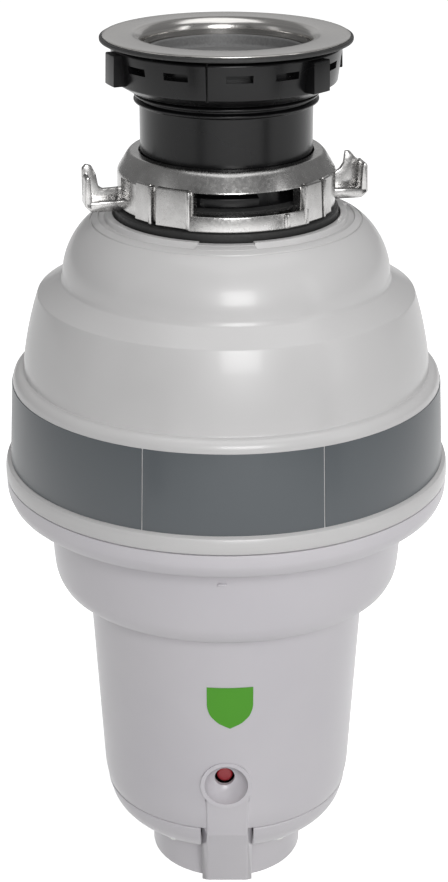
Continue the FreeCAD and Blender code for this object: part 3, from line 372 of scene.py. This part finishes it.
def joined(meshes):
    """One bmesh of several."""
    whole = bmesh.new()
    for mesh in meshes:
        step = bpy.data.meshes.new("step")
        mesh.to_mesh(step)
        mesh.free()
        whole.from_mesh(step)
        bpy.data.meshes.remove(step)
    return whole


def loose_object(name, mesh):
    """An object in the scene from a bmesh, which is freed."""
    data = bpy.data.meshes.new(name)
    mesh.to_mesh(data)
    mesh.free()
    made = bpy.data.objects.new(name, data)
    scene.collection.objects.link(made)
    return made


def carved(mesh, tools, operation="DIFFERENCE"):
    """A bmesh with others cut out of it, or joined to it."""
    base = loose_object("blank", mesh)
    made = []
    for tool in tools:
        knife = loose_object("tool", tool)
        change = base.modifiers.new("carve", "BOOLEAN")
        change.operation = operation
        change.solver = "EXACT"
        change.object = knife
        made.append(knife)
    bpy.context.view_layer.update()
    result = bmesh.new()
    result.from_object(base, bpy.context.evaluated_depsgraph_get())
    for unused in [base, *made]:
        data = unused.data
        bpy.data.objects.remove(unused)
        bpy.data.meshes.remove(data)
    return result


def piece(name, mesh, stands_for, material=None):
    """Makes a finished piece that rides with, and replaces, a CAD node."""
    mark_edges(mesh)
    made = loose_object(name, mesh)
    nodes = [stands_for] if isinstance(stands_for, str) else stands_for
    made.data.materials.append(FINISHES[material or slot_of[nodes[0]]])
    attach(made, body_of[nodes[0]])
    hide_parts(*nodes)
    return made


# Shells ------------------------------------------------------------------------------------

OUTLET_Z = 238.0
INLET = (-38.0, 300.0)


def outlet_hole(radius):
    return rod(radius, 70, Vector((0, 70, OUTLET_Z)) * MM, (0, 1, 0), steps=64)


def upper_shell():
    blank = lathe([
        (106.6, 219.1), (109.1, 219.1, 0.35), (109.1, 224.2, 2.0), (108.2, 226.3, 0.5),
        (106.1, 226.8, 0.1), (104.0, 266.4, 0.5), (103.3, 271.5, 3.6), (98.3, 271.6, 0.5),
        (98.3, 276.0, 2.0), (96.4, 293.3, 16.0), (90.6, 309.8, 0.45), (79.0, 316.4, 0.6),
        (78.35, 318.6, 0.5), (78.3, 336.2, 16.4), (64.8, 344.8, 0.1), (64.6, 344.3), (64.1, 344.3),
        (63.9, 345.1, 0.2), (61.0, 346.6, 0.3), (60.6, 345.6, 0.3), (57.8, 345.6, 0.4),
        (57.2, 348.4, 0.5), (54.0, 348.4, 0.4), (54.0, 346.8), (55.5, 346.8), (55.5, 343.5),
        (62.0, 343.5), (75.8, 334.0, 8.0), (75.8, 315.2), (88.1, 308.2, 0.5), (95.7, 275.6, 2.0),
        (95.7, 269.8), (101.5, 264.8), (103.6, 225.4), (106.6, 222.6),
    ], steps=192)
    inlet = rod(14.3, 70, Vector((INLET[0], 60, INLET[1])) * MM, (0, 1, 0), steps=48)
    thirds = (0, 120, 240)
    notches = [lathe([(53.0, 347.5), (58.3, 347.5), (58.3, 351.0), (53.0, 351.0)], 12, 26.0, a)
               for a in thirds]
    pads = [lathe([(56.2, 345.0), (61.4, 345.0), (61.4, 346.55, 0.2), (56.2, 347.6, 0.3)], 12, 26.0, a)
            for a in thirds]
    piece("upper_shell_moulding", joined([carved(blank, [outlet_hole(26.0), inlet, *notches]), *pads]),
          "upper_shell")


def lower_shell():
    blank = lathe([
        (70.6, 161.3), (83.4, 161.3, 0.8), (86.2, 166.5, 3.0), (87.4, 180.0, 6.0), (88.0, 203.6, 1.5),
        (91.0, 205.6, 1.0), (106.6, 206.6, 1.2), (108.7, 211.5, 1.5), (108.95, 218.5, 0.35),
        (106.4, 218.5), (106.4, 221.9), (104.3, 221.9), (104.3, 209.4), (90.4, 207.6), (85.5, 203.0),
        (84.9, 177.3), (83.7, 166.8, 1.0), (81.4, 163.8), (70.6, 163.8),
    ], steps=192)
    holes = [rod(2.15, 8, at_azimuth(75.5, a, 158.0), steps=24) for a in (45, 135, 225, 315)]
    tab = box((-4.1, -88.9, 193.3), (0.3, -86.0, 194.7), bevel=0.4)
    piece("lower_shell_moulding", joined([carved(blank, [outlet_hole(26.0), *holes]), tab]), "lower_shell")


def label_band():
    rim = 0.03
    outline = [(106.1 + rim, 227.2), (106.45 + rim, 227.2, 0.1), (104.35 + rim, 265.8, 0.1),
               (104.0 + rim, 265.8)]
    # Three panels, with a thin line of the shell showing between them.
    panels = [lathe(outline, 72, end - start, (start + end) / 2)
              for start, end in ((-148.0, -21.1), (-20.8, 24.6), (24.9, 148.0))]
    piece("label_foil", joined(panels), "label_band")


def motor_cover():
    wall = lathe([
        (59.8, 44.6), (62.4, 44.6, 0.6), (63.8, 52.0, 2.5), (70.0, 163.9), (79.5, 164.0), (79.5, 166.6),
        (67.5, 166.6), (61.3, 52.0), (59.8, 47.6),
    ], steps=160)
    side = [(-40.9, 0.5), (-40.9, 12.0), (-57.5, 46.0), (-61.5, 66.0), (-65.6, 66.0), (-63.0, 41.4),
            (-42.0, 0.5)]
    rib = pushed([(-12.4, y, z) for y, z in side], (25.6, 0, 0))
    # The sides are drafted: the front face is narrower than the root, about this sideways middle.
    middle, draft = 0.0009, 0.80
    for corner in rib.verts:
        if corner.co.y < -0.0618 or (corner.co.z < 0.002 and corner.co.y < -0.0415):
            corner.co.x = middle + (corner.co.x - middle) * draft
    bmesh.ops.recalc_face_normals(rib, faces=rib.faces[:])
    ridges = [e for e in rib.edges
              if abs(e.verts[0].co.y + 0.0635) < 0.003 and abs(e.verts[1].co.y + 0.05) < 0.016]
    soften(rib, ridges, 0.8, 3)
    bowl = bmesh.new()
    bmesh.ops.create_uvsphere(bowl, u_segments=48, v_segments=32, radius=12.9 * MM)
    bmesh.ops.bisect_plane(bowl, geom=bowl.verts[:] + bowl.edges[:] + bowl.faces[:],
                           plane_co=(0, 1.2 * MM, 0), plane_no=(0, -1, 0), clear_outer=True)
    bmesh.ops.holes_fill(bowl, edges=[e for e in bowl.edges if e.is_boundary], sides=0)
    bmesh.ops.translate(bowl, verts=bowl.verts[:], vec=(0.0, -67.3 * MM, 72.5 * MM))
    hollow = bmesh.new()
    bmesh.ops.create_uvsphere(hollow, u_segments=64, v_segments=48, radius=10.86 * MM)
    bmesh.ops.translate(hollow, verts=hollow.verts[:], vec=(0.0, -67.26 * MM, 72.5 * MM))
    button_hole = rod(5.0, 20, Vector((-0.8, -70, 72.5)) * MM, (0, 1, 0))
    gland_hole = rod(7.2, 30, Vector((0, 50, 66)) * MM, (0, 1, 0))
    screws = [rod(1.9, 12, at_azimuth(75.5, a, 160.0), steps=20) for a in (45, 135, 225, 315)]
    body = carved(carved(wall, [rib, bowl], "UNION"), [hollow, button_hole, gland_hole, *screws])
    piece("motor_cover_moulding", body, "motor_cover")


def base_cover():
    plate = lathe([
        (0.0, 0.0), (39.0, 0.0, 1.8), (39.0, 26.6, 1.2), (52.5, 27.6, 3.0), (59.6, 33.6, 4.5),
        (62.6, 44.3, 0.9), (59.7, 44.3), (54.6, 33.0), (51.0, 30.0), (36.5, 28.5), (36.5, 2.5), (0.0, 2.5),
    ], steps=160)
    notch = box((-12.9, -75.0, -1.0), (13.7, -40.6, 60.0))
    holes = [rod(2.15, 10, at_azimuth(46.0, a, 22.0), steps=24) for a in (35, 145, 215, 325)]
    vents = [rod(2.5, 6, at_azimuth(26.0, 30.0 * i, -1.0), steps=24) for i in range(12)]
    piece("base_cover_moulding", carved(plate, [notch, *holes, *vents]), "base_cover")


def shield_badge():
    outline = [(-9.5, 128.7), (13.1, 128.7), (13.1, 117.5), (11.6, 112.6), (7.6, 108.4), (1.8, 105.5),
               (-4.0, 108.4), (-8.0, 112.6), (-9.5, 117.5)]
    blank = bmesh.new()
    face = blank.faces.new([blank.verts.new((x * MM, -0.080, z * MM)) for x, z in outline])
    for corner in face.verts[2:5] + face.verts[6:9]:
        bmesh.ops.bevel(blank, geom=[corner], offset=1.6 * MM, segments=4, profile=0.5, affect="VERTICES",
                        material=-1)
    pulled = bmesh.ops.extrude_face_region(blank, geom=blank.faces[:])["geom"]
    moved = [v for v in pulled if isinstance(v, bmesh.types.BMVert)]
    bmesh.ops.translate(blank, verts=moved, vec=(0, 0.05, 0))
    bmesh.ops.recalc_face_normals(blank, faces=blank.faces[:])
    sheet = lathe([(65.93, 90.0), (66.28, 90.0), (69.05, 140.0), (68.7, 140.0)], steps=220)
    piece("shield_sticker", carved(blank, [sheet], "INTERSECT"), "shield_badge")


def reset_button():
    knob = rod(4.0, 13.5, Vector((-0.8, -55.5, 72.5)) * MM, (0, 1, 0), bevel=1.0)
    piece("reset_knob", knob, "reset_button")


upper_shell()
lower_shell()
label_band()
motor_cover()
base_cover()
shield_badge()
reset_button()


# Sink mount --------------------------------------------------------------------------------

def sink_flange():
    profile = [
        (38.95, 404.0), (39.85, 404.0), (39.85, 426.0), (44.6, 431.1, 4.4), (57.0, 431.1, 0.2),
        (57.0, 431.7, 0.25), (55.6, 432.0, 0.5), (38.95, 432.0, 5.5),
    ]
    piece("flange_pressing", lathe(profile, steps=192), "sink_flange")


def flange_gasket():
    profile = [(44.6, 429.3), (58.4, 429.3, 0.6), (58.4, 431.1, 0.6), (44.6, 431.1)]
    piece("flange_gasket_ring", lathe(profile, 160), "flange_gasket")


def friction_ring():
    profile = [(43.5, 428.2), (53.0, 428.2, 0.2), (53.0, 429.2, 0.2), (43.5, 429.2)]
    piece("friction_washer_ring", lathe(profile, 128), "friction_ring")


def threaded_sleeve():
    profile = [(38.3, 360.0), (40.4, 360.0), (40.4, 400.5, 0.3)]
    for turn in range(8):
        low = 400.5 + 3.0 * turn
        profile += [(41.0, low + 0.4), (43.1, low + 1.2, 0.3), (43.1, low + 2.1, 0.3), (41.0, low + 2.9)]
    profile += [(41.0, 425.3), (39.9, 425.3), (39.9, 403.7), (38.3, 403.7)]
    lugs = [lathe([(39.4, 361.0), (43.4, 361.0, 0.4), (43.4, 365.0, 0.4), (39.4, 366.5)], 16, 40.0, a)
            for a in (0, 120, 240)]
    piece("sleeve_moulding", joined([lathe(profile, 160), *lugs]), "threaded_sleeve")


# Azimuth of the nut's split: its slots and lugs lie evenly on both sides of it.
NUT_SPLIT = -9.3


def mounting_nut():
    blank = lathe([
        (43.4, 407.0), (44.6, 407.0, 0.2), (51.5, 411.2, 0.5), (53.45, 426.8, 0.5), (52.7, 427.6, 0.4),
        (43.4, 427.6),
    ], steps=180)
    slots = [lathe([(47.5, 419.2), (55.0, 419.2), (55.0, 422.6), (47.5, 422.6)], 4, 13.0,
                   NUT_SPLIT + side * turn)
             for turn in (15.8, 40.3, 73.7, 98.2, 140.0, 163.0) for side in (-1, 1)]
    split = lathe([(50.0, 409.6), (55.0, 409.6), (55.0, 429.0), (50.0, 429.0)], 2, 1.1, NUT_SPLIT)
    lugs = [lathe([(49.0, 412.2), (57.8, 412.4, 0.4), (57.4, 426.6, 0.6), (49.0, 426.6)], 3, 10.6,
                  NUT_SPLIT + turn) for turn in (-57.0, 57.0, -123.4, 123.4, 180.0)]
    piece("nut_moulding", joined([carved(blank, [*slots, split]), *lugs]), "mounting_nut")


def splash_guard():
    cup = lathe([
        (4.0, 417.0), (8.0, 417.2), (36.6, 417.8, 1.2), (36.6, 404.6), (38.5, 404.6, 0.4), (38.5, 423.8, 0.5),
        (37.7, 424.6, 0.5), (36.9, 423.8, 0.4), (36.8, 419.6, 0.8), (35.2, 419.2, 0.5), (34.6, 419.9, 0.3),
        (33.8, 419.2, 0.3), (8.0, 418.8), (4.0, 418.6),
    ], steps=128)
    slits = [box((2.0, -0.5, 410.0), (14.0, 0.5, 430.0), Matrix.Rotation(math.radians(45 * i), 4, "Z"))
             for i in range(8)]
    piece("baffle_moulding", carved(cup, slits), "splash_guard", "grey_rubber")


def flat_plate(outline, near, far, matrix, bevel):
    """An outline of (radius, height) points pushed through from one sideways place to another."""
    plate = pushed([(r, near, z) for r, z in outline], (0, far - near, 0))
    soften(plate, plate.edges[:], bevel, clamp=True)
    bmesh.ops.transform(plate, matrix=matrix, verts=plate.verts[:])
    return plate


def ear(azimuth, back, web):
    """A hook of the twist ring: an arm, an upright wall at its end, and a web behind them."""
    turn = swing(azimuth)
    arm = [(49.5, 352.1), (65.0, 352.1), (67.6, 354.4), (67.6, 356.6), (49.5, 357.0)]
    wall = [(64.4, 353.0), (68.0, 354.6), (67.6, 367.8), (66.4, 369.2), (65.2, 368.4)]
    return [
        flat_plate(arm, -5.5, 5.5, turn, 0.6),
        flat_plate(wall, -5.5, 5.5, turn, 0.6),
        flat_plate(web, back * 2.6, back * 5.5, turn, 0.5),
    ]


# Flat pads of the twist ring: the middle's azimuth, the width in degrees and the radius.
PADS = ((-28, 17.5, 53.4), (-47.5, 10.0, 52.6), (49.8, 11.5, 53.4), (64, 7.0, 52.6))


def mounting_ring():
    collar = lathe([
        (45.5, 353.4), (51.4, 353.4, 0.5), (51.4, 369.0, 1.2), (46.7, 376.8, 1.2), (45.0, 378.2, 0.4),
        (41.0, 378.2, 0.4), (41.0, 371.4), (46.4, 368.2), (46.4, 356.0), (45.5, 356.0),
    ], steps=160)
    windows = [lathe([(45.0, 359.2), (56.0, 359.2), (56.0, 369.4), (45.0, 369.4)], 24, 57.5, a)
               for a in (12, 192)]
    pockets = [lathe([(48.8, 359.6), (56.0, 359.6), (56.0, 368.4), (48.8, 368.4)], 6, 13.0, a)
               for a in (-65, 115)]
    walls = []
    for turn in (0, 180):
        walls.append(lathe([(46.2, 352.0, 0.4), (53.8, 352.0, 0.9), (53.3, 359.3, 0.6), (46.2, 359.3, 0.3)],
                           24, 63.0, 13 + turn))
        # Flat pads between the window and the ears, with upright ribs at their edges.
        for azimuth, width, radius in PADS:
            profile = [(47.0, 352.8), (radius, 352.8, 0.5), (radius - 0.9, 370.2, 0.6), (47.0, 371.0)]
            walls.append(lathe(profile, 1, width, azimuth + turn))
        for azimuth in (-18.9, -40.4, 42.4, 57.8):
            walls.append(box((48.0, -1.1, 352.6), (53.9, 1.1, 370.4), swing(azimuth + turn), 0.8))
        walls.append(box((50.0, -1.6, 352.2), (54.2, 1.6, 359.0), swing(31 + turn), 0.7))
    right = [(49.5, 353.0), (67.0, 353.0), (67.2, 367.2), (63.8, 369.8), (61.0, 373.0), (58.6, 373.0),
             (57.8, 367.0), (56.0, 364.4), (53.2, 362.9), (49.5, 362.4)]
    left = [(49.5, 353.0), (66.6, 353.0), (68.0, 358.0), (68.0, 371.0), (66.2, 373.0), (63.4, 372.2),
            (61.4, 368.0), (60.4, 362.4), (58.4, 361.0), (49.5, 361.4)]
    blank = carved(collar, [*windows, *pockets])
    whole = joined([blank, *walls, *ear(102, 1, right), *ear(-78, -1, left)])
    piece("twist_ring_casting", whole, "mounting_ring")


def ring_seat_gasket():
    piece("ring_seat", lathe([(45.1, 346.6), (53.0, 346.6, 0.3), (53.0, 351.7, 1.0), (45.1, 351.7)], 128),
          "ring_seat_gasket")


sink_flange()
flange_gasket()
friction_ring()
threaded_sleeve()
mounting_nut()
splash_guard()
mounting_ring()
ring_seat_gasket()


# Rear fittings and screws --------------------------------------------------------------------

def laid_back(mesh, x, z):
    """Turns what was made about +Z to run back along +Y at a sideways place and a height."""
    lean = Matrix.Translation(Vector((x, 0, z)) * MM) @ Matrix.Rotation(math.radians(-90), 4, "X")
    bmesh.ops.transform(mesh, matrix=lean, verts=mesh.verts[:])
    return mesh


def pan_screw(head_radius, head, radius, length, place):
    """A cross-recessed pan-head screw standing head down, with its thread cut as rings."""
    profile = [(0.0, 0.0), (head_radius * 0.6, 0.0, 0.8), (head_radius, head * 0.55, 0.9),
               (head_radius, head, 0.2), (radius, head)]
    for ring in range(int((length - 1.5) / 1.2)):
        low = head + 0.6 + 1.2 * ring
        profile += [(radius, low), (radius * 0.8, low + 0.5)]
    profile += [(radius, head + length - 1.0), (0.0, head + length)]
    recess = [box((-head_radius * 0.55, -0.5, -1.0), (head_radius * 0.55, 0.5, head * 0.6),
                  Matrix.Rotation(math.radians(turn), 4, "Z")) for turn in (45, 135)]
    made = carved(lathe(profile, 32), recess)
    bmesh.ops.transform(made, matrix=place, verts=made.verts[:])
    return made


def discharge_fittings():
    tube = lathe([
        (17.0, 114.0), (22.0, 114.0, 0.4), (22.0, 116.0, 0.4), (19.25, 116.0), (19.25, 119.1), (19.0, 119.5),
        (19.0, 143.0, 0.3), (18.5, 143.8, 0.3), (18.5, 145.4, 0.3), (19.0, 146.2, 0.3), (19.0, 152.0, 0.7),
        (17.0, 152.0, 0.5),
    ], 96)
    piece("discharge_pipe", laid_back(tube, 0, OUTLET_Z), "discharge_tube")
    for name, node_name, low, high, bore in (("discharge_plate", "discharge_flange", 116.0, 119.0, 19.5),
                                             ("discharge_seal", "discharge_gasket", 112.0, 114.0, 15.5)):
        stock = joined([rod(22.9, high - low, Vector((0, 0, low)) * MM, steps=96),
                        rod(8.0, high - low, Vector((-27, 0, low)) * MM),
                        rod(8.0, high - low, Vector((27, 0, low)) * MM)])
        hull = bmesh.ops.convex_hull(stock, input=stock.verts[:])
        inner = set(hull["geom_interior"]) | set(hull["geom_unused"])
        bmesh.ops.delete(stock, geom=[v for v in inner if isinstance(v, bmesh.types.BMVert)], context="VERTS")
        old = [f for f in stock.faces if f not in set(hull["geom"])]
        bmesh.ops.delete(stock, geom=old, context="FACES_ONLY")
        bmesh.ops.dissolve_limit(stock, angle_limit=math.radians(1), verts=stock.verts[:],
                                 edges=stock.edges[:])
        rims = [e for e in stock.edges if abs(e.verts[0].co.z - e.verts[1].co.z) < 1e-6]
        soften(stock, rims, 0.4)
        holes = [rod(2.15, 10, Vector((x, 0, low - 3)) * MM, steps=24) for x in (-27, 27)]
        holes.append(rod(bore, 10, Vector((0, 0, low - 3)) * MM, steps=96))
        piece(name, laid_back(carved(stock, holes), 0, OUTLET_Z), node_name)
    screws = []
    for x in (-27, 27):
        place = Matrix.Translation(Vector((x, 121.8, OUTLET_Z)) * MM)
        screws.append(pan_screw(4.2, 2.8, 2.0, 11.3, place @ Matrix.Rotation(math.radians(90), 4, "X")))
    piece("discharge_screw_pair", joined(screws), "discharge_screws")


def inlet_seal():
    collar = lathe([
        (12.1, 81.0), (14.2, 81.0, 0.5), (14.2, 84.6, 0.2), (13.6, 85.2), (13.6, 86.8), (14.2, 87.4, 0.2),
        (14.2, 91.0, 0.8), (12.1, 91.0, 0.4),
    ], 72)
    piece("inlet_seal", laid_back(collar, *INLET), "inlet_grommet")


def cord_gland():
    hexagon = bmesh.new()
    bmesh.ops.create_cone(hexagon, cap_ends=True, segments=6, radius1=11 * MM, radius2=11 * MM, depth=6 * MM)
    bmesh.ops.rotate(hexagon, verts=hexagon.verts[:], cent=(0, 0, 0),
                     matrix=Matrix.Rotation(math.radians(30), 3, "Z"))
    bmesh.ops.translate(hexagon, verts=hexagon.verts[:], vec=(0, 0, 74 * MM))
    chamfer = lathe([(0, 70.5), (9.6, 71.0), (11.4, 72.2), (11.4, 75.8), (9.6, 77.0), (0, 77.5)], 72)
    nut = carved(hexagon, [chamfer], "INTERSECT")
    stem = lathe([(0.0, 54.0), (7.0, 54.0, 0.3), (7.0, 76.9), (7.0, 78.0, 0.9), (0.0, 78.0)], 72)
    whole = carved(carved(stem, [nut], "UNION"), [rod(4.2, 60, Vector((0, 0, 40)) * MM)])
    piece("gland_nut", laid_back(whole, 0, 66.0), "cord_gland")


def screws_underneath():
    for name, node_name, radius, azimuths, low, length in (
            ("skirt_screw_set", "shell_screws", 75.5, (45, 135, 225, 315), 158.6, 9.3),
            ("foot_screw_set", "base_screws", 46.0, (35, 145, 215, 325), 23.6, 14.8)):
        shafts = [pan_screw(4.0, 2.6, 1.88, length, Matrix.Translation(at_azimuth(radius, a, low)))
                  for a in azimuths]
        piece(name, joined(shafts), node_name)


discharge_fittings()
inlet_seal()
cord_gland()
screws_underneath()


# Lights and floor --------------------------------------------------------------------------

def softbox(name, place, aim, size, power):
    """A rectangular lamp at a place, turned to a point it aims at."""
    light = bpy.data.lights.new(name, "AREA")
    light.shape = "RECTANGLE"
    light.size, light.size_y = size
    light.energy = power
    lamp = bpy.data.objects.new(name, light)
    lamp.location = place
    lamp.rotation_euler = (Vector(aim) - Vector(place)).to_track_quat("-Z", "Y").to_euler()
    scene.collection.objects.link(lamp)


def flag(name, azimuth, distance, width, height):
    """A black board on a stand: gives glossy sides their dark upright bands."""
    board = bmesh.new()
    bmesh.ops.create_grid(board, x_segments=1, y_segments=1, size=0.5)
    bmesh.ops.transform(board, matrix=Matrix.Diagonal((width, height, 1, 1)), verts=board.verts[:])
    made = loose_object(name, board)
    made.location = at_azimuth(distance / MM, azimuth) + Vector((0, 0, height / 2))
    made.rotation_euler = (math.radians(90), 0, math.radians(azimuth))
    black = blank_material(name + "_cloth")
    space = node(black, "ShaderNodeTexCoord")
    weave = node(black, "ShaderNodeTexNoise", {"Scale": 400.0}, {"Vector": (space, "Object")})
    spread = node(black, "ShaderNodeMapRange", {"From Min": 0.3, "From Max": 0.7}, {"Value": (weave, "Fac")})
    tint = node(black, "ShaderNodeMix", {MIX_A: paint("050505"), MIX_B: paint("0b0b0b")},
                {0: (spread, "Result")}, data_type="RGBA")
    shader = node(black, "ShaderNodeBsdfPrincipled", {"Roughness": 1.0}, {"Base Color": (tint, MIXED)})
    node(black, "ShaderNodeOutputMaterial", links={"Surface": (shader, "BSDF")})
    made.data.materials.append(black)
    # Only reflections show the board.
    made.visible_camera = made.visible_diffuse = made.visible_shadow = False


def studio():
    world = bpy.data.worlds.new("studio")
    world.use_nodes = True
    world.node_tree.nodes["Background"].inputs["Color"].default_value = paint("ffffff")
    world.node_tree.nodes["Background"].inputs["Strength"].default_value = 0.27
    scene.world = world
    softbox("overhead", (0.1, -0.1, 1.5), (0, 0, 0.2), (1.2, 1.0), 6)
    softbox("front", (0.25, -1.7, 0.95), (0, 0, 0.22), (0.7, 0.7), 19)
    softbox("right_front", (1.3, -0.8, 0.8), (0, 0, 0.25), (0.5, 1.1), 3.5)
    softbox("left_front", (-1.4, -0.5, 0.7), (0, 0, 0.25), (0.4, 1.1), 0.8)
    softbox("back_strip", (0.0, 1.5, 1.05), (0, 0, 0.42), (1.6, 0.8), 1.3)
    flag("flag_left", -33, 0.8, 0.10, 1.1)
    flag("flag_right", 53, 0.8, 0.11, 1.1)
    floor_mesh = bmesh.new()
    bmesh.ops.create_grid(floor_mesh, x_segments=1, y_segments=1, size=6.0)
    floor = loose_object("floor", floor_mesh)
    floor.location.z = cad_box[0].z
    pale = blank_material("pale_studio_floor")
    space = node(pale, "ShaderNodeTexCoord")
    mottle = node(pale, "ShaderNodeTexNoise", {"Scale": 6.0, "Detail": 2.0}, {"Vector": (space, "Object")})
    spread = node(pale, "ShaderNodeMapRange", {"From Min": 0.3, "From Max": 0.7}, {"Value": (mottle, "Fac")})
    tint = node(pale, "ShaderNodeMix", {MIX_A: paint("f9f9f9"), MIX_B: paint("fdfdfd")},
                {0: (spread, "Result")}, data_type="RGBA")
    shader = node(pale, "ShaderNodeBsdfPrincipled", {
        "Roughness": 0.9, "Specular IOR Level": 0.1,
        "Emission Color": paint("ffffff"), "Emission Strength": 0.8,
    }, {"Base Color": (tint, MIXED)})
    node(pale, "ShaderNodeOutputMaterial", links={"Surface": (shader, "BSDF")})
    floor.data.materials.append(pale)
    # The floor shows and takes the shadow, but throws no light up under the body.
    floor.visible_diffuse = False


studio()
scene.view_settings.view_transform = "Standard"
